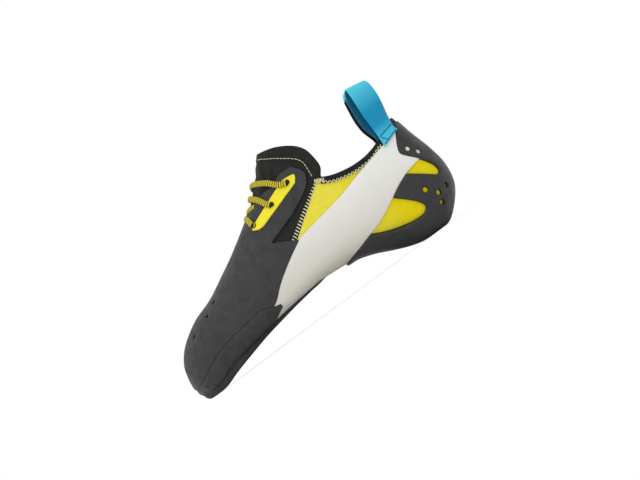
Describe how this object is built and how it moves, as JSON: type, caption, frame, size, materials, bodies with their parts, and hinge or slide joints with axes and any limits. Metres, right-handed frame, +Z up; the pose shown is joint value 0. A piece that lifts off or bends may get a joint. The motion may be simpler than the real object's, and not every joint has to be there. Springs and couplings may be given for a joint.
{
  "type": "climbing shoe",
  "caption": "Downturned rubber-covered climbing shoe with a sock cuff, elastic lacing over the throat, a moulded heel cup and webbing pull loops.",
  "frame": {"origin": "on the floor at the middle of the heel's flat spot", "axes": "+Z up, -X towards the toe, -Y towards the outer (lateral) side of the foot"},
  "size_m": [0.2395, 0.0858, 0.1208],
  "materials": {
    "upper": "microsuede",
    "cuff": "stretch knit",
    "insole": "felted lining board",
    "outsole": "matt moulded rubber",
    "toe_patch": "buffed sheet rubber",
    "toe_rand": "buffed sheet rubber",
    "tension_band": "smooth pale rubber",
    "heel_cup": "matt moulded rubber",
    "collar_binding": "woven tape",
    "eyelet_strip": "coated reinforcement",
    "lace": "braided elastic cord",
    "pull_loop": "woven webbing",
    "loop_lining": "woven tape"
  },
  "bodies": {
    "root": {"upper": "upper", "cuff": "cuff", "insole": "insole", "outsole": "outsole", "toe_patch": "toe_patch", "toe_rand": "toe_rand", "tension_band": "tension_band", "heel_cup": "heel_cup", "collar_binding": "collar_binding", "eyelet_strip_lateral": "eyelet_strip", "eyelet_strip_medial": "eyelet_strip", "pull_loop_lateral": "pull_loop", "pull_loop_medial": "pull_loop", "loop_lining_lateral": "loop_lining", "loop_lining_medial": "loop_lining", "lace_front": "lace", "lace_rear": "lace"}
  },
  "joints": []
}
